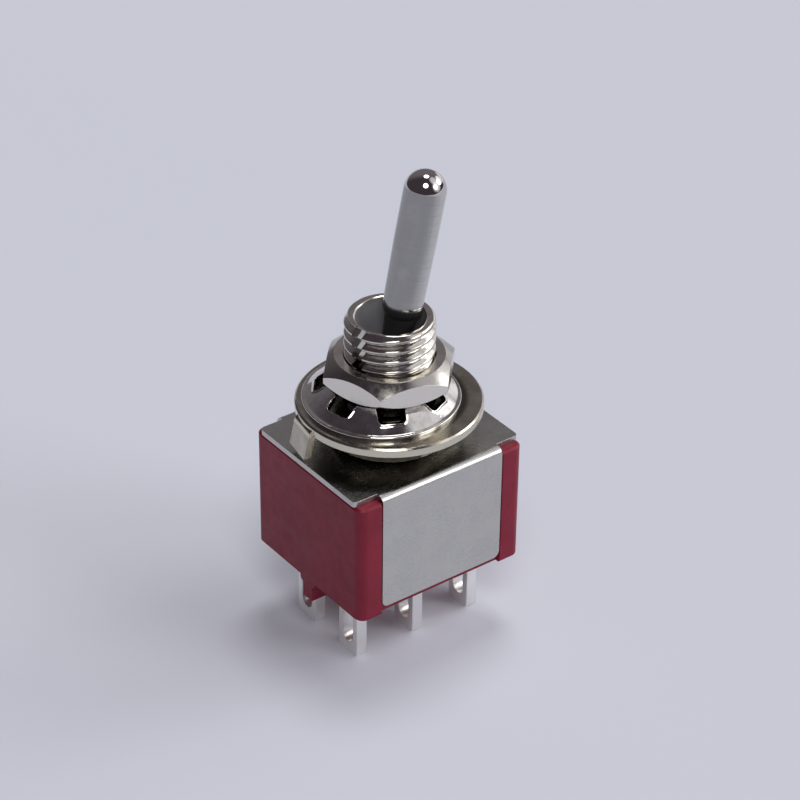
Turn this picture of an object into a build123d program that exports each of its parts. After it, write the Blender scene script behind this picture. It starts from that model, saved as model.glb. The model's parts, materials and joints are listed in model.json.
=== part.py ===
from build123d import *
import os
from math import acos, asin, cos, degrees, radians, sin, tan

os.makedirs("parts", exist_ok=True)

# Miniature two-pole panel toggle switch, in millimetres.
# Z is up, with zero at the tips of the solder lugs, and the bushing's axis is X = Y = 0.
# X is the throw of the lever and Y runs across the two poles. At rest the lever leans towards +X.

# Case
case_length = 13.2
case_width = 11.8
case_height = 8.85
case_corner = 0.7
case_edge = 0.15
side_wall = 0.9
end_wall = 1.2
floor_thickness = 1.6
divider_width = 0.9
rib_width = 1.0
rib_drop = 1.4
rib_root = 0.3

# Frame folded from sheet over the case
sheet = 0.4
plate_length = 9.6
plate_gap = 0.08
plate_lift = 0.6
plate_corner = 0.5
bend_radius = 0.55
cover_inset = 0.1
cover_corner = 0.3

# Bushing
thread_diameter = 5.94
bushing_height = 8.94
rim_chamfer = 0.38
mouth_radius = 2.2
mouth_chamfer = 0.12
throat_radius = 1.35
flange_diameter = 7.8
flange_thickness = 0.7
groove_width = 0.85
groove_depth = 0.46
groove_azimuth = 188
hollow_radius = 2.3
seat_length = 1.05

# Lever, measured along its own axis from the pivot
pivot_depth = 4.34
lean = 12
ball_radius = 1.7
neck_radius = 0.85
shoulder_radius = 1.1
shoulder_length = 0.5
bat_lift = 0.36
bat_radius = 1.3
cap_seat_start = 9.5
cap_seat_radius = 1.37
dome_start = 12.96
dome_height = 1.18
stem_radius = 0.95
tip_radius = 0.85
tip_neck_radius = 0.55
pin_diameter = 0.9
pin_length = 4.6

# Carriage, plungers and springs
carriage_length = 3.6
carriage_height = 2.85
carriage_floor = 0.85
carriage_roof = 0.4
carriage_chamfer = 0.3
socket_width = 2.0
socket_drop = 0.15
plunger_diameter = 1.8
plunger_tip_radius = 0.6
plunger_taper = 0.5
plunger_grip = 1.7
plunger_bore = 1.2
plunger_floor = 0.3
spring_diameter = 1.0
spring_wire = 0.16
spring_turns = 4

# Terminals
row_pitch = 4.7
lug_inset = 2.0
lug_length = 5.1
blade_thickness = 0.8
blade_width = 2.0
blade_corner = 0.3
eye_width = 1.1
eye_web = 0.8
eye_to_case = 0.6
head_step = 0.2
head_height = 0.5
fulcrum_height = 1.3

# Contact rockers
rocker_tilt = 6.5
rocker_rise = 5.5
rocker_end_gap = 0.45
rocker_web = 0.5
rocker_sheet = 0.35
trough_half = 2.8
trough_height = 0.5
trough_wall = 0.3
ear_half = 0.85
ear_drop = 0.55
ear_wall = 0.15
ear_gap = 0.05
stop_bead_place = 0.62
stop_bead_radius = 0.12
contact_inset = 0.1
contact_radius = 0.55
contact_height = 0.3

# Fasteners on the bushing
nut_width = 8.0
nut_thickness = 2.0
nut_face_share = 0.9
nut_chamfer_angle = 34
front_nut_azimuth = 47
back_nut_azimuth = 20
washer_diameter = 12.3
washer_thickness = 0.72
washer_edge = 0.12
tab_azimuth = 170.3
tab_width = 2.2
tab_drop = 1.55
tab_flare = 11.8
tab_stand = 0.19
tab_thickness = 0.5
tab_bend = 0.85
lock_diameter = 10.4
lock_thickness = 0.45
lock_height = 1.38
lock_play = 0.53
lock_shift_share = 0.97
lock_shift_azimuth = 151
lock_land = 0.85
lock_windows = 7
window_width = 1.8
window_corner = 0.35
window_azimuth = 37.4

# Clearances
seat_gap = 0.03
slot_gap = 0.05
turn_gap = 0.04
pin_gap = 0.01
slide_gap = 0.06
thread_gap = 0.03
key_gap = 0.06
contact_gap = 0.05
plunger_gap = 0.05
stop_gap = 0.08
overrun = 1.0

# Plan sizes
recess_face = case_width / 2 - sheet - seat_gap
cavity_half_x = case_length / 2 - end_wall
cavity_half_y = recess_face - side_wall
row_y = {"front": -row_pitch / 2, "back": row_pitch / 2}
lug_pitch = case_length / 2 - lug_inset
head_width = blade_width + 2 * head_step
rocker_width = blade_width + 2 * (ear_wall + ear_gap)
rocker_half = cavity_half_x - rocker_end_gap
contact_place = lug_pitch - contact_inset
carriage_half_y = cavity_half_y - slide_gap
thread_radius = thread_diameter / 2
groove_floor = thread_radius - groove_depth
lock_inner_radius = thread_radius + lock_play
tab_reach = washer_diameter / 2 + tab_stand


def arm_height(x):
    """Height of a level rocker's underside over its pivot, at a distance along the arm."""
    return blade_thickness / 2 + turn_gap + max(abs(x) - rocker_web, 0) * tan(radians(rocker_rise))


def tipped(x, height):
    """Height over the pivot at rest of a point on the rocker's raised arm."""
    tilt = radians(rocker_tilt)
    return (arm_height(x) + height) * cos(tilt) + x * sin(tilt)


# Heights
case_bottom = lug_length
case_top = case_bottom + case_height
cover_top = case_top + sheet
rim_height = cover_top + bushing_height
washer_seat = cover_top + nut_thickness
lock_seat = washer_seat + washer_thickness
front_seat = lock_seat + lock_height
pivot_height = rim_height - pivot_depth
bat_start = pivot_depth + bat_lift
floor_top = case_bottom + floor_thickness
fulcrum = floor_top + fulcrum_height
rocker_top = max(
    tipped(rocker_half, rocker_sheet),
    tipped(trough_half, rocker_sheet + trough_height),
)
carriage_bottom = fulcrum + rocker_top + stop_gap
carriage_top = carriage_bottom + carriage_height
runner_top = carriage_bottom - slide_gap
spring_seat = carriage_top - carriage_roof
socket_floor = carriage_bottom + carriage_floor
arm = pivot_height - socket_floor - socket_drop - tip_radius
travel = 2 * arm * sin(radians(lean))


def turned(*outline):
    """A solid turned about Z from radius and height pairs."""
    return revolve(Plane.XZ * make_face(Polyline(*outline, close=True)), Axis.Z)


def turned_curves(*curves):
    """A solid turned about Z from lines and arcs that close a half section."""
    edges = [edge for curve in curves for edge in curve.edges()]
    return revolve(Plane.XZ * make_face(edges), Axis.Z)


def beside(radius, x):
    """Height over its centre of a ball's surface at a distance from its axis."""
    return (radius**2 - x**2) ** 0.5


def post(radius, low, high):
    """A round post on Z between two heights."""
    return Pos(0, 0, low) * extrude(Circle(radius), high - low)


def block(x_low, x_high, y_low, y_high, z_low, z_high):
    """A block between two corners."""
    middle = Pos((x_low + x_high) / 2, (y_low + y_high) / 2, (z_low + z_high) / 2)
    return middle * Box(x_high - x_low, y_high - y_low, z_high - z_low)


def across(outline, width, middle=0):
    """An outline of X and Z pairs, drawn out along Y to a width about its middle."""
    face = Plane.XZ * make_face(Polyline(*outline, close=True))
    return Pos(0, middle, 0) * extrude(face, width / 2, both=True)


def case():
    """The moulded case: open on top, with a rib between the lug rows underneath."""
    outside = Pos(0, 0, case_bottom) * extrude(
        RectangleRounded(case_length, case_width, case_corner), case_height
    )
    ends = outside.faces().sort_by(Axis.Z)
    outside = chamfer(ends[0].edges() + ends[-1].edges(), case_edge)
    recess_half = plate_length / 2 + plate_gap
    for side in (-1, 1):
        edge = sorted((side * recess_face, side * (case_width / 2 + overrun)))
        outside -= block(-recess_half, recess_half, *edge, case_bottom - overrun, case_top + overrun)
    shoulders = [
        e for e in outside.edges().filter_by(Axis.X).group_by(Axis.Z)[-1]
        if abs(abs(e.center().Y) - recess_face) < seat_gap
    ]
    outside = chamfer(shoulders, bend_radius - sheet + seat_gap)
    body = outside + rib()
    body -= block(
        -cavity_half_x, cavity_half_x, -cavity_half_y, cavity_half_y, floor_top, case_top + overrun
    )
    divider = divider_width / 2
    body += block(-cavity_half_x, cavity_half_x, -divider, divider, floor_top, runner_top)
    runner = row_pitch / 2 + max(rocker_width, head_width) / 2 + stop_gap
    stop = carriage_length / 2 + travel / 2 + stop_gap
    for side in (-1, 1):
        ledge = sorted((side * runner, side * cavity_half_y))
        body += block(-cavity_half_x, cavity_half_x, *ledge, floor_top, runner_top)
        for end in (-1, 1):
            reach = sorted((end * stop, end * cavity_half_x))
            body += block(*reach, *ledge, floor_top, carriage_top)
    for x in (-lug_pitch, 0, lug_pitch):
        for y in row_y.values():
            slot = Rectangle(blade_thickness + 2 * slot_gap, blade_width + 2 * slot_gap)
            body -= Pos(x, y, case_bottom - overrun) * extrude(slot, floor_thickness + 2 * overrun)
    return body


def rib():
    """The barrier rib under the case, with a hollow root fillet along each side."""
    half = rib_width / 2
    root = half + rib_root
    low = case_bottom - rib_drop
    sides = Line((-half, low), (half, low)) + Line((half, low), (half, case_bottom - rib_root))
    sides += RadiusArc((half, case_bottom - rib_root), (root, case_bottom), -rib_root)
    sides += Line((root, case_bottom), (root, case_bottom + case_edge))
    sides += Line((root, case_bottom + case_edge), (-root, case_bottom + case_edge))
    sides += Line((-root, case_bottom + case_edge), (-root, case_bottom))
    sides += RadiusArc((-root, case_bottom), (-half, case_bottom - rib_root), -rib_root)
    sides += Line((-half, case_bottom - rib_root), (-half, low))
    return extrude(Plane.YZ * make_face(sides), case_length / 2, both=True)


def keyed_hole():
    """A hole over the bushing with a key that stands into its groove."""
    key = Rectangle(2 * (groove_depth - key_gap), groove_width - 2 * key_gap)
    rim = thread_radius + slot_gap
    return Circle(rim) - Rot(0, 0, groove_azimuth) * Pos(rim, 0) * key


def frame():
    """The folded frame: a cover out to the folds and a plate down each long side."""
    cover_width = case_width - 2 * (bend_radius + cover_inset)
    cover = Pos(0, 0, case_top) * extrude(
        RectangleRounded(case_length, cover_width, cover_corner), sheet
    )
    half = plate_length / 2
    bottom = case_bottom + plate_lift
    height = cover_top - bottom
    outer = Rectangle(case_width, height, align=(Align.CENTER, Align.MIN))
    outer = fillet(outer.vertices().group_by(Axis.Y)[-1], bend_radius)
    inner = Rectangle(case_width - 2 * sheet, height - sheet, align=(Align.CENTER, Align.MIN))
    inner = fillet(inner.vertices().group_by(Axis.Y)[-1], bend_radius - sheet)
    channel = extrude(Plane.YZ * (Pos(0, bottom) * (outer - inner)), half, both=True)
    corners = channel.edges().filter_by(Axis.Y).group_by(Axis.Z)[0]
    channel = fillet(corners, plate_corner)
    hole = extrude(keyed_hole(), sheet + 2 * overrun)
    return cover + channel - Pos(0, 0, case_top - overrun) * hole


def bushing():
    """The bushing: flange under the cover, ball seat and flared mouth inside, key groove outside."""
    low = case_top - flange_thickness
    body = turned(
        (0, low),
        (flange_diameter / 2, low),
        (flange_diameter / 2, case_top),
        (thread_radius, case_top),
        (thread_radius, rim_height - rim_chamfer),
        (thread_radius - rim_chamfer, rim_height),
        (0, rim_height),
    )
    seat = ball_radius + turn_gap
    throat = pivot_height + beside(seat, throat_radius)
    body -= Pos(0, 0, pivot_height) * Sphere(seat)
    body -= post(seat, pivot_height - seat_length, pivot_height)
    body -= post(hollow_radius, low - overrun, pivot_height - seat_length)
    body -= turned(
        (0, pivot_height),
        (throat_radius, pivot_height),
        (throat_radius, throat),
        (mouth_radius, rim_height - mouth_chamfer),
        (mouth_radius + mouth_chamfer, rim_height),
        (mouth_radius + mouth_chamfer, rim_height + overrun),
        (0, rim_height + overrun),
    )
    groove = Rot(0, 0, groove_azimuth) * Pos(groove_floor + overrun, 0) * Rectangle(2 * overrun, groove_width)
    body -= Pos(0, 0, case_top) * extrude(groove, sheet + bushing_height + overrun)
    pin_slot = Rectangle(pin_diameter + 2 * turn_gap, pin_length + 2 * slide_gap)
    slot_top = pivot_height + pin_diameter / 2 + turn_gap
    return body - Pos(0, 0, low - overrun) * extrude(pin_slot, slot_top - low + overrun)


def lean_over(shape):
    """Stand a lever piece at the pivot and lean it over to its rest."""
    return Pos(0, 0, pivot_height) * Rot(0, lean, 0) * shape


def lever():
    """The turned lever: bat with a domed end above the ball, tapered stem and round tip below."""
    over_ball = beside(ball_radius, neck_radius)
    under_ball = -beside(ball_radius, stem_radius)
    over_tip = beside(tip_radius, tip_neck_radius) - arm
    dome_top = dome_start + dome_height
    dome_radius = (cap_seat_radius**2 + dome_height**2) / (2 * dome_height)
    dome_turn = degrees(asin(cap_seat_radius / dome_radius))
    tip_turn = degrees(acos(tip_neck_radius / tip_radius))
    neck_turn = degrees(acos(neck_radius / ball_radius))
    stem_turn = degrees(acos(stem_radius / ball_radius))
    body = turned_curves(
        CenterArc((0, -arm), tip_radius, -90, 90 + tip_turn),
        Line((tip_neck_radius, over_tip), (stem_radius, under_ball)),
        CenterArc((0, 0), ball_radius, -stem_turn, stem_turn + neck_turn),
        Polyline(
            (neck_radius, over_ball),
            (shoulder_radius, bat_start - shoulder_length),
            (bat_radius, bat_start),
            (cap_seat_radius, cap_seat_start),
            (cap_seat_radius, dome_start),
        ),
        CenterArc((0, dome_top - dome_radius), dome_radius, 90 - dome_turn, dome_turn),
        Line((0, dome_top), (0, -arm - tip_radius)),
    )
    hole = Circle(pin_diameter / 2 + pin_gap)
    return lean_over(body - extrude(Plane.XZ * hole, ball_radius + overrun, both=True))


def pivot_pin():
    """The cross pin that keeps the lever to one plane."""
    return lean_over(extrude(Plane.XZ * Circle(pin_diameter / 2), pin_length / 2, both=True))


def carriage():
    """The nylon carriage: the lever's tip drives its socket, and it holds a plunger for each pole."""
    half = carriage_length / 2
    body = block(-half, half, -carriage_half_y, carriage_half_y, carriage_bottom, carriage_top)
    body = chamfer(body.faces().sort_by(Axis.Z)[-1].edges().filter_by(Axis.Y), carriage_chamfer)
    reach = tip_radius + slide_gap
    body -= block(-reach, reach, -socket_width / 2, socket_width / 2, socket_floor, carriage_top + overrun)
    for y in row_y.values():
        bore = post(plunger_diameter / 2 + turn_gap, carriage_bottom - overrun, spring_seat)
        body -= Pos(0, y, 0) * bore
    return Pos(-travel / 2, 0, 0) * body


def plunger(y):
    """A cupped plunger with a round nose, over its rocker."""
    nose = fulcrum + blade_thickness / 2 + turn_gap + rocker_sheet + plunger_gap
    centre = nose + plunger_tip_radius
    radius = plunger_diameter / 2
    top = carriage_bottom + plunger_grip
    cup = carriage_bottom + plunger_floor
    body = turned_curves(
        CenterArc((0, centre), plunger_tip_radius, -90, 90),
        Polyline(
            (plunger_tip_radius, centre),
            (radius, centre + plunger_taper),
            (radius, top),
            (plunger_bore / 2, top),
            (plunger_bore / 2, cup),
            (0, cup),
            (0, nose),
        ),
    )
    return Pos(-travel / 2, y, 0) * body


def spring(y):
    """The coil spring between a plunger and the roof of its bore, its wire drawn with six sides."""
    low = carriage_bottom + plunger_floor + spring_wire / 2
    height = spring_seat - spring_wire / 2 - low
    coil = Helix(height / spring_turns, height, (spring_diameter - spring_wire) / 2)
    section = Plane(origin=coil @ 0, z_dir=coil % 0) * RegularPolygon(spring_wire / 2, 6)
    return Pos(-travel / 2, y, low) * sweep(section, path=coil, is_frenet=True)


def arm_outline(reach, low, high):
    """The bent outline of both arms out to a reach, between two heights over the underside."""
    stations = (-reach, -rocker_web, rocker_web, reach)
    under = [(x, arm_height(x) + low) for x in stations]
    over = [(x, arm_height(x) + high) for x in reversed(stations)]
    return under + over


def rocker(y):
    """A contact rocker: a bent strip with a trough for the plunger and a contact under each end."""
    body = across(arm_outline(rocker_half, 0, rocker_sheet), rocker_width)
    for side in (-1, 1):
        wall = side * (rocker_width - trough_wall) / 2
        body += across(arm_outline(trough_half, 0, rocker_sheet + trough_height), trough_wall, wall)
        ear = side * (rocker_width - ear_wall) / 2
        body += across(arm_outline(ear_half, -ear_drop, rocker_sheet), ear_wall, ear)
        bead = Pos(side * stop_bead_place, 0, arm_height(stop_bead_place)) * Rot(90, 0, 0)
        body += bead * Cylinder(stop_bead_radius, blade_width)
        under = Pos(side * contact_place, 0, arm_height(contact_place)) * Rot(0, -side * rocker_rise, 0)
        body += under * Pos(0, 0, -contact_height) * extrude(
            Circle(contact_radius), contact_height + rocker_sheet / 2
        )
    return Pos(0, y, fulcrum) * Rot(0, -rocker_tilt, 0) * body


def contact_top():
    """Height of the end terminals: just under the closed contact's lower edge."""
    rise = radians(rocker_rise)
    tilt = radians(rocker_tilt)
    out = contact_place + contact_height * sin(rise) + contact_radius * cos(rise)
    up = arm_height(contact_place) - contact_height * cos(rise) + contact_radius * sin(rise)
    return fulcrum + up * cos(tilt) - out * sin(tilt) - contact_gap


def terminal(x, y):
    """A solder lug with its blade through the floor: the middle one is the rocker's fulcrum."""
    top = contact_top() if x else fulcrum
    blade = Rectangle(blade_width, top, align=(Align.CENTER, Align.MIN))
    blade = fillet(blade.vertices().group_by(Axis.Y)[0], blade_corner)
    blade += Pos(0, floor_top) * Rectangle(head_width, head_height, align=(Align.CENTER, Align.MIN))
    eye_length = lug_length - eye_web - eye_to_case
    blade -= Pos(0, eye_web + eye_length / 2) * SlotOverall(eye_length, eye_width, rotation=90)
    body = extrude(Plane.YZ * blade, blade_thickness / 2, both=True)
    if not x:
        body += Pos(0, 0, fulcrum) * Rot(90, 0, 0) * Cylinder(blade_thickness / 2, blade_width)
    return Pos(x, y, 0) * body


def nut(azimuth, low):
    """A hex nut chamfered on both faces, seated at a height."""
    corner = nut_width / 2 / cos(radians(30))
    face = nut_width * nut_face_share / 2
    fall = (corner - face) * tan(radians(nut_chamfer_angle))
    body = extrude(RegularPolygon(corner, 6), nut_thickness)
    body &= turned(
        (0, 0),
        (face, 0),
        (corner, fall),
        (corner, nut_thickness - fall),
        (face, nut_thickness),
        (0, nut_thickness),
    )
    body -= post(thread_radius + thread_gap, -overrun, nut_thickness + overrun)
    return Pos(0, 0, low) * Rot(0, 0, azimuth) * body


def keyed_washer(low):
    """The locating washer: a key into the bushing's groove and a tab folded down at the rim."""
    rim = washer_diameter / 2
    body = turned(
        (0, 0),
        (rim - washer_edge, 0),
        (rim, washer_edge),
        (rim, washer_thickness - washer_edge),
        (rim - washer_edge, washer_thickness),
        (0, washer_thickness),
    )
    body -= Pos(0, 0, -overrun) * extrude(keyed_hole(), washer_thickness + 2 * overrun)
    flare = radians(tab_flare)
    foot = tab_reach + tab_drop * tan(flare)
    heel = tab_reach - tab_bend
    knee = washer_thickness - tab_bend
    outline = Polyline(
        (heel, 0),
        (tab_reach - tab_thickness, 0),
        (foot - tab_thickness, -tab_drop),
        (foot, -tab_drop),
        (tab_reach, knee),
    )
    outline += RadiusArc((tab_reach, knee), (heel, washer_thickness), -tab_bend)
    outline += Line((heel, washer_thickness), (heel, 0))
    tab = extrude(Plane.XZ * make_face(outline), tab_width / 2, both=True)
    return Pos(0, 0, low) * (body + Rot(0, 0, tab_azimuth) * tab)


def lock_washer(low):
    """The dished washer with teeth inside its rim, sitting loose and off centre on the thread."""
    rim = lock_diameter / 2
    top = lock_height - lock_thickness
    body = turned(
        (lock_inner_radius, top),
        (rim - lock_land / 2, 0),
        (rim, 0),
        (rim, lock_thickness),
        (rim - lock_land / 2, lock_thickness),
        (lock_inner_radius, lock_height),
    )
    window_end = rim - lock_land
    window_start = thread_radius - overrun
    window = RectangleRounded(window_end - window_start, window_width, window_corner)
    window = Pos((window_end + window_start) / 2, 0) * window
    for k in range(lock_windows):
        turn = Rot(0, 0, window_azimuth + k * 360 / lock_windows)
        body -= turn * Pos(0, 0, -overrun) * extrude(window, lock_height + 2 * overrun)
    shift = lock_play * lock_shift_share
    way = radians(lock_shift_azimuth)
    return Pos(shift * cos(way), shift * sin(way), low) * body


pieces = {
    "case": case(),
    "frame": frame(),
    "bushing": bushing(),
    "lever": lever(),
    "pivot_pin": pivot_pin(),
    "carriage": carriage(),
    "keyed_washer": keyed_washer(washer_seat),
    "lock_washer": lock_washer(lock_seat),
    "hex_nuts": Compound(
        children=[nut(back_nut_azimuth, cover_top), nut(front_nut_azimuth, front_seat)]
    ),
}
for row, y in row_y.items():
    pieces[f"plunger_{row}"] = plunger(y)
    pieces[f"spring_{row}"] = spring(y)
    pieces[f"rocker_{row}"] = rocker(y)
for number in range(6):
    x = (number % 3 - 1) * lug_pitch
    y = row_y["front"] if number < 3 else row_y["back"]
    pieces[f"terminal_{number + 1}"] = terminal(x, y)

for name, shape in pieces.items():
    export_step(shape, f"parts/{name}.step")
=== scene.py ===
import bmesh
import bpy
import json
from math import acos, asin, cos, degrees, pi, radians, sin, sqrt
from mathutils import Matrix, Vector

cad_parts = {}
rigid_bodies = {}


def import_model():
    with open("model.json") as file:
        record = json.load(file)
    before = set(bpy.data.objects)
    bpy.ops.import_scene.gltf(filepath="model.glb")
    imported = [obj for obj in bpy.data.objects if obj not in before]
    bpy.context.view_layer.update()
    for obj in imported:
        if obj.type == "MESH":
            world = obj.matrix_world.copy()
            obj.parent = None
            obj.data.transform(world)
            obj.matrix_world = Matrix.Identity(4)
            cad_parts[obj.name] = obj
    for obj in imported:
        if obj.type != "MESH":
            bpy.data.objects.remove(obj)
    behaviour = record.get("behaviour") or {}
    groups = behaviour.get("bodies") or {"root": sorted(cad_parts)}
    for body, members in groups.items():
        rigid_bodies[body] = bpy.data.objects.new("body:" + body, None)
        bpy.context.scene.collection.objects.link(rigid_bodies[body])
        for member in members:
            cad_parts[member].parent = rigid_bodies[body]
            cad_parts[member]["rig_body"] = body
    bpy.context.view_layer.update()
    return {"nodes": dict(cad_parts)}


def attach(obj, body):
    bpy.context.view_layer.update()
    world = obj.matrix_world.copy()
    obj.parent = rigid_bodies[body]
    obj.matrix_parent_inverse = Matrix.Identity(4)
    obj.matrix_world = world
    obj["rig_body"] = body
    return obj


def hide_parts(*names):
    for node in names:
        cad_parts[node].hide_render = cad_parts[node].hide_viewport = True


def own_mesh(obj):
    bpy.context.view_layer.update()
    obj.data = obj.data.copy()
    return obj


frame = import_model()
nodes = frame["nodes"]
MM = 0.001

# Sizes in millimetres and angles in degrees, with heights from the lugs' tips

# Bushing
CASE_TOP = 13.95
RIM = 23.29
RIM_ROUND = 0.38
MOUTH_STEPS = ((2.5, 0), (2.4, 0.012), (2.32, 0.05), (2.25, 0.11), (2.2, 0.2))
THROAT = 1.35
SEAT = 1.74
SEAT_DEPTH = 1.05
LOWER_BORE = 2.3
FLANGE = 3.9
FLANGE_DEPTH = 0.7
FLANGE_EDGE = 0.04
PIN_SLOT = 0.98
PIN_REACH = 2.36

# Thread and key groove
THREAD_RADIUS = 2.97
THREAD_DEPTH = 0.42
PITCH = 0.75
CREST_HEIGHT = 22.93
CREST_AZIMUTH = 222.2
RUN_IN = 0.3
GROOVE = radians(188)
GROOVE_WAY = (cos(GROOVE), sin(GROOVE), 0)
GROOVE_SIDE = (-sin(GROOVE), cos(GROOVE), 0)
GROOVE_WIDTH = 0.85
GROOVE_FLOOR = 2.51

# Lever: its pivot, its lean towards +X, and stations along it from the pivot
PIVOT = 18.95
LEAN = radians(12)
BALL = 1.7
NECK = 0.85
STEM = 0.95
TIP = 0.85
TIP_NECK = 0.55
TIP_ARM = 7.2013
SHOULDER_STEPS = ((1.08, 4.17), (1.11, 4.2), (1.2, 4.38), (1.26, 4.54), (1.29, 4.68))
BAT_FOOT = 1.302
BAT_START = 4.8
BAT = 1.37
TAPER = 4.7
BAT_STEPS = (11.2, 12.7, 12.94)
DOME = 1.385
DOME_CENTRE = 12.755
DOME_ANGLE = 8.5

# Hex nuts, and each one's azimuth of a corner and height of its seat
NUT_WIDTH = 8.0
NUT_HEIGHT = 2.0
NUT_BORE = 3.0
NUT_MOUTH = 3.3
NUT_FACE = 3.6
NUT_CHAMFER = 0.7
NUT_CURL = 0.085
BACK_NUT = (20, 14.35)
FRONT_NUT = (47, 18.45)

# Lock washer and its windows
LOCK_CENTRE = (-0.4495, 0.2492)
LOCK_SEAT = 17.07
LOCK_HEIGHT = 1.38
LOCK_BORE = 3.5
LOCK_RIM = 5.2
LOCK_LAND = 0.425
LOCK_THICKNESS = 0.45
RIM_START = 4.6
RIM_HEIGHT = 0.3
RIM_BLEND = 0.03
RIM_ROLL = 0.1
WINDOWS = 7
WINDOW_AZIMUTH = radians(37.4)
WINDOW_END = 4.35
WINDOW_WIDTH = 1.8
WINDOW_CORNER = 0.35
WINDOW_ROLL = 0.06
LIP_HEIGHT = 0.08
LIP_WIDTH = 0.17
LIP_START = 3.75

# Plunger springs
COIL_LOW = 10.2
COIL_SEAT = 12.35
COIL_X = -1.4972
COIL_Y = 2.35
COIL_RADIUS = 0.42
COIL_TURNS = 4
WIRE = 0.08

# Angles over which an edge stays sharp
SOLID_EDGE = 32
WASHER_EDGE = 45
NUT_EDGE = 25
CUT_EDGE = 40

# Points nearer than this, in metres, are one
TOUCHING = 1e-7


# Node trees

class Tree:
    """Short ways to add and join the nodes of a tree."""

    def __init__(self, tree):
        self.tree = tree

    def add(self, kind, *values, **settings):
        """A node with its settings and its inputs in order. A socket is joined, and None is skipped."""
        node = self.tree.nodes.new(kind)
        for key, value in settings.items():
            setattr(node, key, value)
        for socket, value in zip(node.inputs, values):
            self.put(socket, value)
        return node

    def put(self, socket, value):
        """Joins a socket to another, or sets its value."""
        if value is None:
            return
        if isinstance(value, bpy.types.NodeSocket):
            self.tree.links.new(value, socket)
        else:
            socket.default_value = value

    def math(self, operation, *values, clamp=False):
        """Arithmetic on numbers."""
        kind = "ShaderNodeMath"
        return self.add(kind, *values, operation=operation, use_clamp=clamp).outputs[0]

    def vector(self, operation, *values):
        """Vector arithmetic with a vector for its answer."""
        return self.add("ShaderNodeVectorMath", *values, operation=operation).outputs[0]

    def measure(self, operation, *values):
        """Vector arithmetic with a number for its answer."""
        return self.add("ShaderNodeVectorMath", *values, operation=operation).outputs["Value"]

    def scaled(self, vector, factor):
        """A vector times a number."""
        node = self.add("ShaderNodeVectorMath", vector, operation="SCALE")
        self.put(node.inputs["Scale"], factor)
        return node.outputs[0]

    def parts(self, vector):
        """The X, Y and Z of a vector."""
        return self.add("ShaderNodeSeparateXYZ", vector).outputs

    def span(self, value, low, high, to_low=0.0, to_high=1.0):
        """A value's place between two bounds, carried over to two others with soft ends."""
        kind = "ShaderNodeMapRange"
        node = self.add(kind, value, low, high, to_low, to_high, interpolation_type="SMOOTHSTEP")
        return node.outputs[0]

    def sewn(self, geometry):
        """A geometry with its touching points merged."""
        node = self.add("GeometryNodeMergeByDistance", geometry)
        node.inputs["Distance"].default_value = TOUCHING
        return node.outputs[0]

    def end(self, geometry, material):
        """Ends a tree that makes a piece: its instances made real, with a material."""
        real = self.add("GeometryNodeRealizeInstances", geometry)
        done = self.add("GeometryNodeSetMaterial", real.outputs[0], None, material)
        self.add("NodeGroupOutput", done.outputs[0])


def geometry_tree(name, inputs):
    """A new tree of Geometry Nodes: the group, its short ways, and its inputs by name."""
    group = bpy.data.node_groups.new(name, "GeometryNodeTree")
    for words, kind in inputs:
        group.interface.new_socket(words, in_out="INPUT", socket_type=f"NodeSocket{kind}")
    group.interface.new_socket("Geometry", in_out="OUTPUT", socket_type="NodeSocketGeometry")
    t = Tree(group)
    return group, t, t.add("NodeGroupInput").outputs


def give(modifier, values):
    """Sets the named inputs of a modifier's node tree."""
    for item in modifier.node_group.interface.items_tree:
        if item.item_type == "SOCKET" and item.in_out == "INPUT" and item.name in values:
            modifier[item.identifier] = values[item.name]


class Finish(Tree):
    """A material: a shader, and patterns over the piece's own coordinates in millimetres."""

    def __init__(self, name, metallic=0.0, edge=0.05):
        self.material = bpy.data.materials.new(name)
        self.material.use_nodes = True
        super().__init__(self.material.node_tree)
        self.shader = self.tree.nodes["Principled BSDF"]
        self.set("Metallic", metallic)
        self.place = self.scaled(self.add("ShaderNodeTexCoord").outputs["Object"], 1 / MM)
        self.bumps = None
        if edge:
            self.bumps = self.add("ShaderNodeBevel", edge * MM, samples=6).outputs[0]
            self.set("Normal", self.bumps)

    def set(self, name, value):
        """Joins or sets one of the shader's inputs."""
        self.put(self.shader.inputs[name], value)

    def noise(self, scale, detail=3.0, place=None, stretch=None, seed=0.0):
        """Noise over the piece, at so many features a millimetre. A seed moves it elsewhere."""
        where = place or self.place
        if stretch:
            where = self.vector("MULTIPLY", where, stretch)
        if seed:
            where = self.vector("ADD", where, (seed, seed * 0.7, seed * 1.3))
        node = self.add("ShaderNodeTexNoise", where)
        for key, value in (("Scale", scale), ("Detail", detail), ("Roughness", 0.55)):
            node.inputs[key].default_value = value
        return node.outputs["Fac"]

    def mix(self, share, low, high):
        """A colour between two colours."""
        first, second, result = 6, 7, 2
        node = self.add("ShaderNodeMix", data_type="RGBA")
        self.put(node.inputs["Factor"], share)
        for place, value in ((first, low), (second, high)):
            self.put(node.inputs[place], (*value, 1) if isinstance(value, tuple) else value)
        return node.outputs[result]

    def from_axis(self):
        """How far a point lies from the Z axis."""
        return self.measure("LENGTH", self.vector("MULTIPLY", self.place, (1, 1, 0)))

    def bump(self, height, depth, strength):
        """Adds a height pattern, with its depth in millimetres."""
        node = self.add("ShaderNodeBump")
        self.put(node.inputs["Height"], height)
        node.inputs["Distance"].default_value = depth * MM
        node.inputs["Strength"].default_value = strength
        if self.bumps:
            self.put(node.inputs["Normal"], self.bumps)
        self.bumps = node.outputs[0]
        self.set("Normal", self.bumps)


# Finishes

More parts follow.
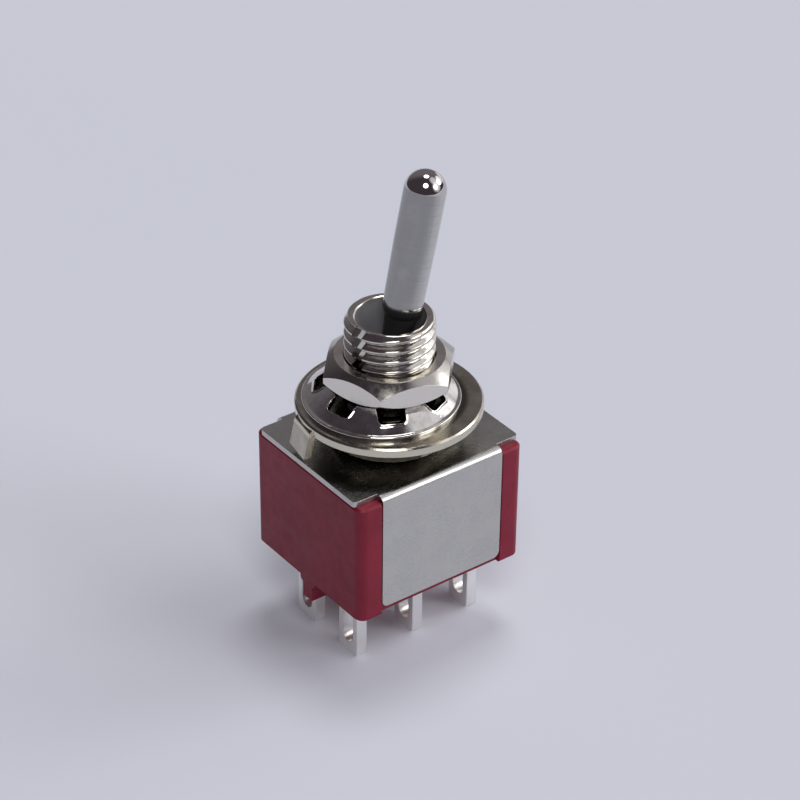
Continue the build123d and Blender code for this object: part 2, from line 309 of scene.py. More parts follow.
def moulded_red():
    """Satin red moulding, slightly clouded, with pale specks and a fine orange-peel skin."""
    red = Finish("moulded_red")
    red.set("IOR", 1.37)
    cloud = red.noise(0.35, detail=2)
    speck = red.noise(9.0, detail=2, seed=5)
    tone = red.mix(red.span(cloud, 0.3, 0.7), (0.205, 0.006, 0.024), (0.24, 0.008, 0.031))
    red.set("Base Color", red.mix(red.span(speck, 0.62, 0.8, 0, 0.25), tone, (0.36, 0.04, 0.07)))
    red.set("Roughness", red.span(red.noise(1.2, seed=2), 0.3, 0.7, 0.38, 0.5))
    red.bump(red.noise(7.0, detail=4, seed=3), 0.02, 0.5)
    return red.material


def plated_sheet():
    """Satin plate with fine rolling grain along X and faint smudges."""
    sheet = Finish("plated_sheet", metallic=1.0)
    smudge = sheet.noise(0.5, detail=4, seed=8)
    grain = sheet.noise(14.0, detail=3, stretch=(0.12, 1, 1), seed=1)
    pits = sheet.noise(5.0, detail=4, seed=4)
    tone = sheet.mix(sheet.span(smudge, 0.35, 0.7), (0.555, 0.545, 0.52), (0.52, 0.515, 0.50))
    sheet.set("Base Color", sheet.mix(sheet.span(pits, 0.64, 0.76, 0, 0.3), tone, (0.33, 0.32, 0.30)))
    worn = sheet.span(smudge, 0.3, 0.7, 0.17, 0.26)
    sheet.set("Roughness", sheet.math("ADD", worn, sheet.span(grain, 0.3, 0.7, 0, 0.08)))
    sheet.bump(grain, 0.006, 0.5)
    sheet.bump(sheet.noise(1.1, detail=2, seed=6), 0.015, 0.2)
    return sheet.material


def bright_nickel():
    """The bushing's bright plate, with painted shade on the key groove's walls and on the thread under the
    nut, and dull in the mouth.
    """
    nickel = Finish("bright_nickel", metallic=1.0)
    foot = FRONT_NUT[1]
    height = nickel.parts(nickel.place)[2]
    out = nickel.from_axis()
    stain = nickel.noise(0.9, detail=4, seed=3)
    below = nickel.span(height, foot + 0.15, foot - 0.25)
    # Painted shade: the thread below the front nut's seat, under the nut and washers
    shaded_under_nut = nickel.math("MULTIPLY", below, nickel.span(out, 3.3, 3.1))
    mouth = nickel.math("MULTIPLY", nickel.span(out, 2.32, 2.15), nickel.span(height, 18.4, 18.6))
    aside = nickel.math("ABSOLUTE", nickel.measure("DOT_PRODUCT", nickel.place, GROOVE_SIDE))
    along = nickel.measure("DOT_PRODUCT", nickel.place, GROOVE_WAY)
    at_wall = nickel.math("COMPARE", aside, GROOVE_WIDTH / 2 + 0.005, 0.03)
    wall = nickel.math("MULTIPLY", at_wall, nickel.math("GREATER_THAN", along, 2.4))
    tone = nickel.mix(nickel.span(stain, 0.4, 0.75), (0.68, 0.65, 0.60), (0.52, 0.485, 0.42))
    # Painted shade: the key groove's side walls are painted nearly black
    tone = nickel.mix(wall, tone, (0.12, 0.11, 0.11))
    # Painted shade: near-black thread under the front nut
    tone = nickel.mix(shaded_under_nut, tone, (0.06, 0.055, 0.05))
    nickel.set("Base Color", nickel.mix(mouth, tone, (0.34, 0.34, 0.36)))
    satin = nickel.span(nickel.noise(2.2, seed=7), 0.3, 0.75, 0.07, 0.2)
    nickel.set("Roughness", nickel.math("MAXIMUM", satin, nickel.math("MULTIPLY", mouth, 0.5)))
    nickel.set("Metallic", nickel.math("MULTIPLY_ADD", mouth, -0.55, 1.0))
    nickel.bump(nickel.noise(1.6, detail=2, seed=9), 0.02, 0.2)
    nickel.bump(nickel.noise(16.0, detail=3, seed=2), 0.0025, 0.4)
    return nickel.material


def stamped_nickel():
    """The lock washer's bright plate."""
    nickel = Finish("stamped_nickel", metallic=1.0, edge=0)
    stain = nickel.span(nickel.noise(1.1, detail=4, seed=61), 0.4, 0.75)
    nickel.set("Base Color", nickel.mix(stain, (0.74, 0.72, 0.70), (0.56, 0.53, 0.48)))
    nickel.set("Roughness", nickel.span(nickel.noise(2.2, seed=62), 0.3, 0.75, 0.05, 0.14))
    nickel.bump(nickel.noise(1.8, detail=2, seed=63), 0.03, 0.3)
    return nickel.material


def dull_nickel(name, light, dark, lit_side_tone, shaded_chamfer_tone):
    """The nuts' and keyed washer's plate: warm, with a fine grain; painted lighter on steep faces above the
    back nut, painted darker on the chamfers, and painted dark as shade under the front nut.
    """
    nickel = Finish(name, metallic=1.0)
    foot = FRONT_NUT[1]
    height = nickel.parts(nickel.place)[2]
    facing = nickel.parts(nickel.add("ShaderNodeNewGeometry").outputs["Normal"])[2]
    stain = nickel.noise(0.8, detail=5, seed=13)
    fleck = nickel.noise(8.0, detail=3, seed=11)
    steep = nickel.math("LESS_THAN", facing, 0.5)
    # Painted highlight: steep faces above the back nut, the front nut's flats and the keyed washer's rim, are
    # painted lighter
    side = nickel.math("MULTIPLY", steep, nickel.math("GREATER_THAN", height, 16.4))
    # Painted shade: faces sloping like the chamfers are painted darker, dimming their highlights
    chamfer = nickel.math("COMPARE", facing, 0.79, 0.06)
    # Painted shade: within about 5 mm of the axis and below the front nut's seat, over the back nut and the
    # keyed washer under the lock washer
    near = nickel.span(nickel.from_axis(), 5.3, 4.9)
    under = nickel.math("MULTIPLY", near, nickel.span(height, foot - 0.35, foot - 0.55))
    tone = nickel.mix(nickel.span(stain, 0.35, 0.7), light, dark)
    tone = nickel.mix(nickel.span(fleck, 0.6, 0.75, 0, 0.3), tone, (0.4, 0.37, 0.3))
    # Painted highlight on the steep faces
    tone = nickel.mix(side, tone, lit_side_tone)
    # Painted shade on the chamfers
    tone = nickel.mix(chamfer, tone, shaded_chamfer_tone)
    # Painted shade under the front nut
    nickel.set("Base Color", nickel.mix(under, tone, (0.12, 0.11, 0.085)))
    nickel.set("Roughness", nickel.span(nickel.noise(3.0, detail=4, seed=17), 0.3, 0.7, 0.14, 0.24))
    nickel.bump(nickel.noise(10.0, detail=4, seed=12), 0.006, 0.5)
    nickel.bump(nickel.noise(1.3, detail=2, seed=14), 0.02, 0.15)
    return nickel.material


def turned_lever():
    """Satin bat with a turned grain round it, painted darker as shade on its near side and lighter towards
    the lamps on its right, a polished dome, and painted near-black shade, with a little darker oxide, below
    the bat.
    """
    bat = Finish("turned_lever", metallic=1.0, edge=0)
    upright = bat.add("ShaderNodeMapping", bat.place, vector_type="TEXTURE")
    upright.inputs["Location"].default_value = (0, 0, PIVOT)
    upright.inputs["Rotation"].default_value = (0, LEAN, 0)
    own = upright.outputs[0]
    along = bat.parts(own)[2]
    # Painted shade and light: the bat is darker on its near side and lighter towards the lamps on the right
    aside = bat.measure("DOT_PRODUCT", own, (0.87, -0.5, 0))
    edge = BAT_STEPS[-1]
    dome = bat.span(along, edge - 0.04, edge + 0.08)
    streak = bat.noise(2.2, detail=4, place=own, stretch=(1, 1, 0.18), seed=6)
    rings = bat.noise(9.0, detail=3, place=own, stretch=(0.06, 0.06, 1), seed=1)
    stain = bat.noise(0.9, detail=4, place=own, seed=3)
    # Painted shade and light across the bat
    tone = bat.mix(bat.span(aside, 0.1, 1.1), (0.35, 0.345, 0.34), (0.62, 0.61, 0.59))
    tone = bat.mix(bat.span(streak, 0.35, 0.75, 0, 0.22), tone, (0.25, 0.245, 0.25))
    tone = bat.mix(bat.span(stain, 0.5, 0.75, 0, 0.25), tone, (0.5, 0.47, 0.42))
    tone = bat.mix(bat.span(rings, 0.4, 0.7, 0, 0.22), tone, (0.28, 0.275, 0.28))
    # Painted shade, with a little darker oxide: below the bat, inside the bushing, the lever is near-black
    # and not metallic
    tone = bat.mix(bat.span(along, BAT_START, BAT_START + 0.25), (0.03, 0.03, 0.03), tone)
    bat.set("Metallic", bat.span(along, BAT_START, BAT_START + 0.2))
    bat.set("Specular IOR Level", 0.1)
    bat.set("Base Color", bat.mix(dome, tone, (0.62, 0.58, 0.57)))
    satin = bat.span(streak, 0.3, 0.7, 0.34, 0.42)
    bat.set("Roughness", bat.add("ShaderNodeMix", dome, satin, 0.12, data_type="FLOAT").outputs[0])
    bat.bump(bat.math("MULTIPLY", rings, bat.math("SUBTRACT", 1.0, dome)), 0.005, 0.4)
    return bat.material


def silvered():
    """Silver plate on the lugs and rockers, a little clouded."""
    silver = Finish("silvered", metallic=1.0)
    cloud = silver.span(silver.noise(0.9, detail=4, seed=21), 0.42, 0.72)
    silver.set("Base Color", silver.mix(cloud, (0.94, 0.93, 0.91), (0.89, 0.88, 0.84)))
    silver.set("Roughness", silver.span(silver.noise(2.5, seed=22), 0.3, 0.7, 0.36, 0.44))
    silver.bump(silver.noise(1.2, detail=1, seed=23), 0.006, 0.1)
    return silver.material


def natural_nylon():
    """Pale undyed nylon with a fine skin."""
    nylon = Finish("natural_nylon")
    cloud = nylon.span(nylon.noise(0.7, detail=2, seed=31), 0.3, 0.7)
    nylon.set("Base Color", nylon.mix(cloud, (0.82, 0.79, 0.71), (0.74, 0.70, 0.60)))
    nylon.set("Roughness", 0.45)
    nylon.bump(nylon.noise(6.0, seed=32), 0.008, 0.4)
    return nylon.material


def drawn_steel():
    """Steel wire and pin stock with lines along X."""
    steel = Finish("drawn_steel", metallic=1.0)
    steel.set("Base Color", steel.mix(steel.noise(3.0, seed=41), (0.5, 0.5, 0.51), (0.36, 0.355, 0.35)))
    steel.set("Roughness", 0.3)
    steel.bump(steel.noise(20.0, stretch=(0.2, 1, 1), seed=42), 0.002, 0.4)
    return steel.material


def pale_floor():
    """Pale blue-grey card, barely clouded."""
    floor = Finish("pale_floor")
    cloud = floor.span(floor.noise(0.02, detail=2, seed=51), 0.3, 0.7)
    floor.set("Base Color", floor.mix(cloud, (0.72, 0.745, 0.83), (0.735, 0.755, 0.835)))
    floor.set("Roughness", 0.75)
    floor.set("Specular IOR Level", 0.25)
    return floor.material


# Ways to make pieces

def link(name, mesh, material):
    """An object on a mesh, with one finish."""
    mesh.materials.clear()
    mesh.materials.append(material)
    piece = bpy.data.objects.new(name, mesh)
    bpy.context.scene.collection.objects.link(piece)
    return piece


def smooth(mesh, angle):
    """Smooth shading, with edges sharper than an angle kept sharp."""
    mesh.shade_smooth()
    mesh.set_sharp_from_angle(angle=radians(angle))


def mesh_of(bm, name):
    """A plain mesh from a bmesh, which ends with it."""
    mesh = bpy.data.meshes.new(name)
    bm.to_mesh(mesh)
    bm.free()
    return mesh


def settle(piece):
    """Turns a piece's modifiers into its plain mesh."""
    graph = bpy.context.evaluated_depsgraph_get()
    mesh = bpy.data.meshes.new_from_object(piece.evaluated_get(graph), depsgraph=graph)
    piece.modifiers.clear()
    old = piece.data
    piece.data = mesh
    bpy.data.meshes.remove(old)


def stand_for(piece, node):
    """A piece rides on its node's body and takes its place."""
    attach(piece, nodes[node]["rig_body"])
    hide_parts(node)


def stand_in(bm, name, material, node, edge):
    """Makes a bmesh the piece that stands for a node, with its edges kept sharp over an angle."""
    mesh = mesh_of(bm, name)
    smooth(mesh, edge)
    stand_for(link(name, mesh, material), node)


def smoothing_tree():
    """Geometry nodes that sew a mesh's faces together and keep its edges sharp over an angle."""
    group, t, given = geometry_tree("smoothing", [("Geometry", "Geometry"), ("Sharp over", "Float")])
    all_smooth = t.add("GeometryNodeSetShadeSmooth", t.sewn(given["Geometry"]))
    bend = t.add("GeometryNodeInputMeshEdgeAngle").outputs[0]
    sharp = t.math("GREATER_THAN", bend, given["Sharp over"])
    kept = t.add("GeometryNodeSetShadeSmooth", all_smooth.outputs[0], sharp, domain="EDGE")
    kept.inputs["Shade Smooth"].default_value = False
    t.add("NodeGroupOutput", kept.outputs[0])
    return group


def dress(node, material, smoothing):
    """A node's own solid, smoothed, with a finish."""
    solid = nodes[node]
    solid.data.materials.clear()
    solid.data.materials.append(material)
    maker = solid.modifiers.new("smoothed", "NODES")
    maker.node_group = smoothing
    give(maker, {"Sharp over": radians(SOLID_EDGE)})


def grown(name, group, material, values):
    """A plain mesh piece from a node tree and its named inputs."""
    piece = link(name, bpy.data.meshes.new(name), material)
    maker = piece.modifiers.new(name, "NODES")
    maker.node_group = group
    give(maker, values)
    settle(piece)
    return piece


def at(bm, radius, turn, height, centre=(0, 0)):
    """A point of a bmesh at a radius, turn and height in millimetres."""
    x = centre[0] + radius * cos(turn)
    y = centre[1] + radius * sin(turn)
    return bm.verts.new((x * MM, y * MM, height * MM))


def lathe(stations, around):
    """A bmesh turned about Z through radius and height stations, in order up the outside."""
    bm = bmesh.new()
    rings = []
    for radius, height in stations:
        if radius < 1e-6:
            rings.append([at(bm, 0, 0, height)])
        else:
            rings.append([at(bm, radius, 2 * pi * k / around, height) for k in range(around)])
    for low, high in zip(rings, rings[1:]):
        for k in range(around):
            m = (k + 1) % around
            corners = [low[k % len(low)], low[m % len(low)], high[m % len(high)], high[k % len(high)]]
            bm.faces.new(list(dict.fromkeys(corners)))
    return bm


def arc(centre, radius, start, end, steps):
    """Stations round an arc about a point on the axis, angles in degrees above level."""
    out = []
    for k in range(steps + 1):
        turn = radians(start + (end - start) * k / steps)
        out.append((max(radius * cos(turn), 0.0), centre + radius * sin(turn)))
    return out


def cutter(low, high, turn=0.0):
    """A block between two corners in millimetres, turned about Z, to cut with."""
    bm = bmesh.new()
    bmesh.ops.create_cube(bm, size=1.0)
    size = [b - a for a, b in zip(low, high)]
    middle = [(a + b) / 2 for a, b in zip(low, high)]
    place = Matrix.Rotation(turn, 4, "Z") @ Matrix.Translation(Vector(middle) * MM)
    bm.transform(place @ Matrix.Diagonal((*(Vector(size) * MM), 1)))
    block = bpy.data.objects.new("cutter", mesh_of(bm, "cutter"))
    bpy.context.scene.collection.objects.link(block)
    return block


def cut_away(piece, *blocks):
    """Cuts blocks out of a piece and clears them away."""
    for block in blocks:
        knife = piece.modifiers.new("cut", "BOOLEAN")
        knife.operation = "DIFFERENCE"
        knife.solver = "EXACT"
        knife.object = block
    settle(piece)
    for block in blocks:
        bpy.data.objects.remove(block)


# Lever

def lever_piece(material):
    """The turned lever with its dome, ball, stem and round tip."""
    stations = arc(-TIP_ARM, TIP, -90, degrees(acos(TIP_NECK / TIP)), 14)
    stations += arc(0, BALL, -degrees(acos(STEM / BALL)), degrees(acos(NECK / BALL)), 18)
    stations += [*SHOULDER_STEPS, (BAT_FOOT, BAT_START)]
    steps = 8
    for k in range(1, steps + 1):
        stations.append((BAT_FOOT + (BAT - BAT_FOOT) * k / steps, BAT_START + TAPER * k / steps))
    stations += [(BAT, along) for along in BAT_STEPS]
    stations += arc(DOME_CENTRE, DOME, DOME_ANGLE, 90, 18)
    bm = lathe(stations, 96)
    bm.transform(Matrix.Translation((0, 0, PIVOT * MM)) @ Matrix.Rotation(LEAN, 4, "Y"))
    stand_in(bm, "bat_lever", material, "lever", SOLID_EDGE)


# Bushing

def thread_tree(material):
    """Geometry nodes for a sleeve with a helical thread: a grid wound round Z and drawn in to the root."""
    sizes = ("Crest radius", "Depth", "Pitch", "Start turn", "Low", "High", "Rim radius", "Run-in")
    inputs = [(name, "Float") for name in sizes] + [("Around", "Int"), ("Rows", "Int")]
    group, t, given = geometry_tree("thread_sleeve", inputs)
    crest, low, high = given["Crest radius"], given["Low"], given["High"]
    grid = t.add("GeometryNodeMeshGrid", 1.0, 1.0, given["Around"], given["Rows"])
    spot = t.parts(t.add("GeometryNodeInputPosition").outputs[0])
    turn = t.math("ADD", spot[0], 0.5)
    share = t.math("ADD", spot[1], 0.5)
    height = t.math("MULTIPLY_ADD", share, t.math("SUBTRACT", high, low), low)

    # A ridge that rises and falls once a pitch, with a flat crest and a rounded root
    climbed = t.math("DIVIDE", height, given["Pitch"])
    phase = t.math("SUBTRACT", climbed, t.math("ADD", turn, given["Start turn"]))
    wave = t.math("ABSOLUTE", t.math("MULTIPLY_ADD", t.math("FRACT", phase), 2.0, -1.0))
    flank, crest_blend, root, root_blend, rim_blend = 1.2, 0.14, 0.08, 0.2, 0.04
    ridge = t.math("SMOOTH_MIN", t.math("MULTIPLY", wave, flank), 1.0, crest_blend)
    ridge = t.math("SMOOTH_MAX", ridge, root, root_blend)
    cut = t.math("MULTIPLY", t.math("SUBTRACT", 1.0, ridge), given["Depth"])
    run_in = t.add("ShaderNodeMapRange", height, low, t.math("ADD", low, given["Run-in"]), 0.0, 1.0)
    cut = t.math("MULTIPLY", cut, run_in.outputs[0])

    # The round at the rim, which the crests give way to
    round_off = t.math("SUBTRACT", crest, given["Rim radius"])
    climb = t.math("SUBTRACT", height, t.math("SUBTRACT", high, round_off))
    climb = t.math("DIVIDE", climb, round_off, clamp=True)
    rise = t.math("SQRT", t.math("SUBTRACT", 1.0, t.math("MULTIPLY", climb, climb)))
    rim = t.math("MULTIPLY_ADD", rise, round_off, given["Rim radius"])
    radius = t.math("SMOOTH_MIN", t.math("SUBTRACT", crest, cut), rim, rim_blend)
    at_rim = t.math("GREATER_THAN", share, 0.9999)
    at_foot = t.math("LESS_THAN", share, 0.0001)
    switch = "GeometryNodeSwitch"
    radius = t.add(switch, at_rim, radius, given["Rim radius"], input_type="FLOAT").outputs[0]
    radius = t.add(switch, at_foot, radius, crest, input_type="FLOAT").outputs[0]

    angle = t.math("MULTIPLY", turn, 2 * pi)
    x = t.math("MULTIPLY", radius, t.math("COSINE", angle))
    y = t.math("MULTIPLY", radius, t.math("SINE", angle))
    wound = t.scaled(t.add("ShaderNodeCombineXYZ", x, y, height).outputs[0], MM)
    moved = t.add("GeometryNodeSetPosition", grid.outputs[0], None, wound)
    t.end(t.sewn(moved.outputs[0]), material)
    return group


def bushing_piece(material):
    """The bushing with its thread, key groove, flared mouth, ball seat and flange."""
    around = 120
    rim = THREAD_RADIUS - RIM_ROUND
    sleeve = grown("thread", thread_tree(material), material, {
        "Crest radius": THREAD_RADIUS,
        "Depth": THREAD_DEPTH,
        "Pitch": PITCH,
        "Start turn": CREST_HEIGHT / PITCH - CREST_AZIMUTH / 360,
        "Low": CASE_TOP,
        "High": RIM,
        "Rim radius": rim,
        "Run-in": RUN_IN,
        "Around": around + 1,
        "Rows": 300,
    })
    throat = PIVOT + sqrt(SEAT**2 - THROAT**2)
    seat_low = PIVOT - SEAT_DEPTH
    foot = CASE_TOP - FLANGE_DEPTH
    stations = [(rim, RIM)]
    stations += [(radius, RIM - drop) for radius, drop in MOUTH_STEPS]
    stations += [(THROAT, throat)]
    stations += arc(PIVOT, SEAT, degrees(asin((throat - PIVOT) / SEAT)), 0, 10)[1:]
    stations += [(SEAT, seat_low), (LOWER_BORE, seat_low), (LOWER_BORE, foot)]
    stations += [(FLANGE - FLANGE_EDGE, foot), (FLANGE, foot + FLANGE_EDGE)]
    stations += [(FLANGE, CASE_TOP - FLANGE_EDGE), (FLANGE - FLANGE_EDGE, CASE_TOP)]
    stations += [(THREAD_RADIUS, CASE_TOP)]
    bm = lathe(stations, around)
    bm.from_mesh(sleeve.data)
    bmesh.ops.remove_doubles(bm, verts=bm.verts, dist=10 * TOUCHING)
    bmesh.ops.recalc_face_normals(bm, faces=bm.faces)
    bpy.data.objects.remove(sleeve)
    piece = link("threaded_bushing", mesh_of(bm, "threaded_bushing"), material)
    half, outside = GROOVE_WIDTH / 2, 4.0
    groove = cutter((GROOVE_FLOOR, -half, CASE_TOP + 0.001), (outside, half, RIM + 1), GROOVE)
    half = PIN_SLOT / 2
    slot = cutter((-half, -PIN_REACH, CASE_TOP - 2), (half, PIN_REACH, PIVOT + half))
    cut_away(piece, groove, slot)
    smooth(piece.data, CUT_EDGE)
    stand_for(piece, "bushing")


# Lock washer

def rolled(gap, radius):
    """How far a rolled edge has dropped at a gap from it."""
    return radius - sqrt(max(radius**2 - max(radius - gap, 0.0) ** 2, 0.0))


def from_window(radius, turn):
    """How far a point of the lock washer lies outside the nearest window, in millimetres."""
    step = 2 * pi / WINDOWS
    turn = (turn - WINDOW_AZIMUTH + step / 2) % step - step / 2
    x = radius * cos(turn) - (WINDOW_END - WINDOW_CORNER)
    y = radius * abs(sin(turn)) - (WINDOW_WIDTH / 2 - WINDOW_CORNER)
    return sqrt(max(x, 0.0) ** 2 + max(y, 0.0) ** 2) + min(max(x, y), 0.0) - WINDOW_CORNER


def window_edge(turn):
    """Where the lock washer's metal starts in a direction: at its bore, or past a window."""
    low, high = LOCK_BORE, LOCK_RIM
    if from_window(low, turn) >= 0:
        return low
    halvings = 24
    for _ in range(halvings):
        middle = (low + high) / 2
        low, high = (middle, high) if from_window(middle, turn) < 0 else (low, middle)
    return high


def lock_heights(radius, turn):
    """The heights of the lock washer's underside and top over its seat: a cone with a level rim."""
    slope = (LOCK_HEIGHT - LOCK_THICKNESS) / (LOCK_RIM - LOCK_LAND - LOCK_BORE)
    cone = LOCK_HEIGHT - slope * (radius - LOCK_BORE)
    high = cone
    if radius > RIM_START:
        high = (cone + RIM_HEIGHT + sqrt((cone - RIM_HEIGHT) ** 2 + RIM_BLEND**2)) / 2
    gap = max(from_window(radius, turn), 0.0)
    if radius > LIP_START:
        high += LIP_HEIGHT * (0.5 + 0.5 * cos(pi * min(gap / LIP_WIDTH, 1.0)))
    high -= rolled(gap, WINDOW_ROLL) + rolled(LOCK_RIM - radius, RIM_ROLL)
    return max(cone - LOCK_THICKNESS, 0.0), high


def lock_washer_piece(material):
    """The dished lock washer: open windows inside, a raised lip round each, and a narrow rolled rim."""
    around, rows_end = 504, 4.8
    shares = (0, 0.02, 0.05, 0.1, 0.17, 0.26, 0.36, 0.48, 0.62, 0.8, 1)
    rim_rows = (4.86, 4.91, 4.95, 4.99, 5.04, 5.09, 5.13, 5.16, 5.18, 5.193, LOCK_RIM)
    bm = bmesh.new()
    tops, feet = [], []
    for k in range(around):
        turn = 2 * pi * k / around
        first = window_edge(turn)
        top, foot = [], []
        for radius in (*(first + (rows_end - first) * share for share in shares), *rim_rows):
            low, high = lock_heights(radius, turn)
            top.append(at(bm, radius, turn, LOCK_SEAT + high, LOCK_CENTRE))
            foot.append(at(bm, radius, turn, LOCK_SEAT + low, LOCK_CENTRE))
        tops.append(top)
        feet.append(foot)
    for k in range(around):
        m = (k + 1) % around
        for j in range(len(tops[k]) - 1):
            bm.faces.new((tops[k][j], tops[k][j + 1], tops[m][j + 1], tops[m][j]))
            bm.faces.new((feet[k][j], feet[m][j], feet[m][j + 1], feet[k][j + 1]))
        bm.faces.new((tops[k][0], tops[m][0], feet[m][0], feet[k][0]))
        bm.faces.new((tops[k][-1], feet[k][-1], feet[m][-1], tops[m][-1]))
    bmesh.ops.recalc_face_normals(bm, faces=bm.faces)
    stand_in(bm, "dished_washer", material, "lock_washer", WASHER_EDGE)


# Nuts

def nut_profile(turn):
    """Stations of a nut from its bore's top, over the chamfer and down the flat, and back underneath."""
    wall = NUT_WIDTH / 2 / cos(turn % (pi / 3) - pi / 6)
    steps = 8
    radii = [NUT_BORE, NUT_MOUTH] + [NUT_FACE + (wall - NUT_FACE) * k / steps for k in range(steps + 1)]
    outs = [max(radius - NUT_FACE, 0.0) for radius in radii]
    falls = [NUT_CHAMFER * out + NUT_CURL * out**2 for out in outs]
    top = [(radius, NUT_HEIGHT - fall) for radius, fall in zip(radii, falls)]
    return top + list(zip(radii, falls))[::-1]


def nuts_piece(material):
    """Both hex nuts, their chamfers a little rounded down towards the corners."""
    bm = bmesh.new()
    around = 240
    for azimuth, seat in (BACK_NUT, FRONT_NUT):
        columns = []
        for k in range(around):
            turn = 2 * pi * k / around
            turned = turn + radians(azimuth)
            columns.append([at(bm, radius, turned, seat + height) for radius, height in nut_profile(turn)])
        for k in range(around):
            here, there = columns[k], columns[(k + 1) % around]
            for j in range(len(here)):
                n = (j + 1) % len(here)
                bm.faces.new((here[j], here[n], there[n], there[j]))
    bmesh.ops.recalc_face_normals(bm, faces=bm.faces)
    stand_in(bm, "chamfered_nuts", material, "hex_nuts", NUT_EDGE)


# Springs

def spring_tree(material):
    """Geometry nodes for a coil spring: a round wire swept along a helix that stands on its foot."""
    sizes = ("Turns", "Coil radius", "Wire radius", "Height")
    group, t, given = geometry_tree("coil_spring", [(name, "Float") for name in sizes] + [("Foot", "Vector")])
    radius = given["Coil radius"]
    helix = t.add("GeometryNodeCurveSpiral", 40, given["Turns"], radius, radius, given["Height"])
    section = t.add("GeometryNodeCurvePrimitiveCircle")
    section.inputs["Resolution"].default_value = 12
    t.put(section.inputs["Radius"], given["Wire radius"])
    swept = t.add("GeometryNodeCurveToMesh", helix.outputs[0], section.outputs[0])
    swept.inputs["Fill Caps"].default_value = True
    placed = t.add("GeometryNodeTransform", swept.outputs[0])
    t.put(placed.inputs["Translation"], t.vector("MULTIPLY", given["Foot"], (MM, MM, MM)))
    placed.inputs["Scale"].default_value = (MM, MM, MM)
    t.end(placed.outputs[0], material)
    return group


def spring_piece(name, tree, node, y, material):
    """A plunger's coil spring, from its foot up to its seat."""
    length = COIL_SEAT - COIL_LOW
    piece = grown(name, tree, material, {
        "Turns": COIL_TURNS,
        "Coil radius": COIL_RADIUS,
        "Wire radius": WIRE,
        "Height": length - 2 * WIRE,
        "Foot": (COIL_X, y, COIL_LOW + WIRE),
    })
    smooth(piece.data, CUT_EDGE)
    stand_for(piece, node)
    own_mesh(piece)


# Stage, light and camera

def lay_floor(material):
    """A wide floor under the lugs' tips."""
    bm = bmesh.new()
    bmesh.ops.create_grid(bm, x_segments=8, y_segments=8, size=6.0)
    floor = link("floor", mesh_of(bm, "floor"), material)


def toward(azimuth, elevation):
    """The direction of a lamp or camera: azimuth 0 stands on -Y, 90 on +X."""
    a, e = radians(azimuth), radians(elevation)
    return Vector((sin(a) * cos(e), -cos(a) * cos(e), sin(e)))


def lamp(name, azimuth, elevation, strength, spread):
    """A far lamp with a soft edge."""
    light = bpy.data.lights.new(name, "SUN")
    light.energy = strength
    light.angle = radians(spread)
    holder = bpy.data.objects.new(name, light)
    holder.rotation_mode = "QUATERNION"
    holder.rotation_quaternion = toward(azimuth, elevation).to_track_quat("Z", "Y")
    bpy.context.scene.collection.objects.link(holder)


def room_light():
    """A dim room with five soft glows for the metal to reflect, and the floor's tone beyond its edge."""
    world = bpy.data.worlds.new("room")
    bpy.context.scene.world = world
    world.use_nodes = True
    world.node_tree.nodes.clear()
    t = Tree(world.node_tree)
    way = t.add("ShaderNodeTexCoord").outputs["Generated"]
    tone = t.add("ShaderNodeCombineXYZ", 0.06, 0.048, 0.06).outputs[0]
    for azimuth, elevation, outer, inner, light in (
        (143, 28, 60, 25, (0.125, 0.125, 0.125)),
        (86, 25, 18, 10, (1.3, 1.3, 1.33)),
        (58, 52, 24, 8, (0.75, 0.75, 0.78)),
        (38, 26, 28, 10, (0.85, 0.85, 0.88)),
        (108, 1, 21, 11, (0.8, 0.8, 0.83)),
    ):
        near = t.measure("DOT_PRODUCT", way, toward(azimuth, elevation))
        share = t.span(near, cos(radians(outer)), cos(radians(inner)))
        tone = t.vector("ADD", tone, t.scaled(light, share))
    seen = t.add("ShaderNodeLightPath").outputs["Is Camera Ray"]
    around = t.add("ShaderNodeBackground", tone, 1.0)
    behind = t.add("ShaderNodeBackground", (0.58, 0.59, 0.67, 1), 1.0)
    both = t.add("ShaderNodeMixShader", seen, around.outputs[0], behind.outputs[0])
    t.add("ShaderNodeOutputWorld", both.outputs[0])


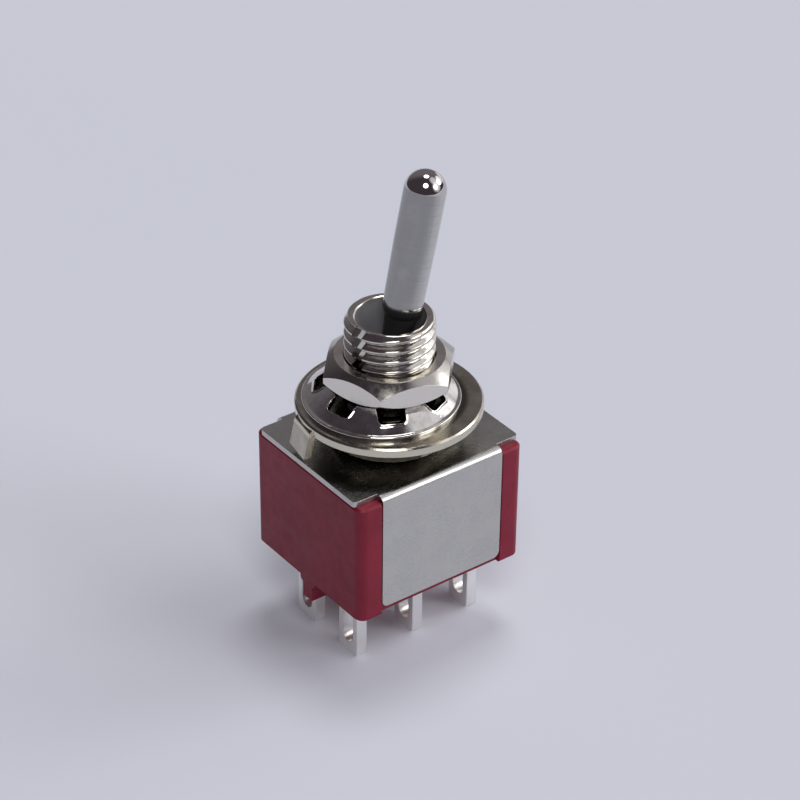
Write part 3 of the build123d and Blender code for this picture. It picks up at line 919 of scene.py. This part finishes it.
def set_camera():
    """The photograph's view, found from the case's edges, the lugs, the nut and the lever."""
    azimuth, elevation, roll = -37.098, 33.245, radians(0.662)
    distance, sideways, upward, middle = 181.9, 0.70, 5.702, 10
    focal_in_pixels, picture_in_pixels, sensor = 2749.0, 800, 36
    back = toward(azimuth, elevation)
    right = Vector((cos(radians(azimuth)), sin(radians(azimuth)), 0))
    up = back.cross(right)
    target = right * sideways + up * upward + Vector((0, 0, middle))
    rolled_right = cos(roll) * right + sin(roll) * up
    rolled_up = cos(roll) * up - sin(roll) * right
    data = bpy.data.cameras.new("camera")
    data.sensor_width = sensor
    data.lens = focal_in_pixels / picture_in_pixels * sensor
    data.clip_start = 0.01
    data.clip_end = 50
    camera = bpy.data.objects.new("camera", data)
    turned = Matrix((rolled_right, rolled_up, back)).transposed().to_4x4()
    camera.matrix_world = Matrix.Translation((target + back * distance) * MM) @ turned
    bpy.context.scene.collection.objects.link(camera)
    bpy.context.scene.camera = camera


# The switch

red = moulded_red()
sheet = plated_sheet()
silver = silvered()
nylon = natural_nylon()
steel = drawn_steel()
# Each plate's lit side tone is a painted highlight, and its shaded chamfer tone is painted shade
nut_plate = dull_nickel(
    "nut_nickel", light=(0.74, 0.71, 0.65), dark=(0.6, 0.56, 0.49),
    lit_side_tone=(0.78, 0.75, 0.69), shaded_chamfer_tone=(0.42, 0.4, 0.37),
)
washer_plate = dull_nickel(
    "washer_nickel", light=(0.52, 0.49, 0.43), dark=(0.37, 0.34, 0.27),
    lit_side_tone=(0.66, 0.62, 0.51), shaded_chamfer_tone=(0.5, 0.47, 0.4),
)

smoothing = smoothing_tree()
for names, finish in (
    (("case",), red),
    (("frame",), sheet),
    (("keyed_washer",), washer_plate),
    ([f"terminal_{number}" for number in range(1, 7)], silver),
    (("carriage", "plunger_front", "plunger_back"), nylon),
    (("pivot_pin",), steel),
    (("rocker_front", "rocker_back"), silver),
):
    for name in names:
        dress(name, finish, smoothing)

bushing_piece(bright_nickel())
lever_piece(turned_lever())
lock_washer_piece(stamped_nickel())
nuts_piece(nut_plate)
coil = spring_tree(steel)
spring_piece("front_coil", coil, "spring_front", -COIL_Y, steel)
spring_piece("back_coil", coil, "spring_back", COIL_Y, steel)

lay_floor(pale_floor())
room_light()
lamp("overhead_lamp", 127, 73, strength=0.7, spread=20)
lamp("near_lamp", -33, 53, strength=0.85, spread=25)
lamp("window_lamp", 70, 28, strength=0.44, spread=24)
lamp("side_lamp", 32, 29, strength=0.42, spread=24)
set_camera()
bpy.context.scene.view_settings.view_transform = "Standard"
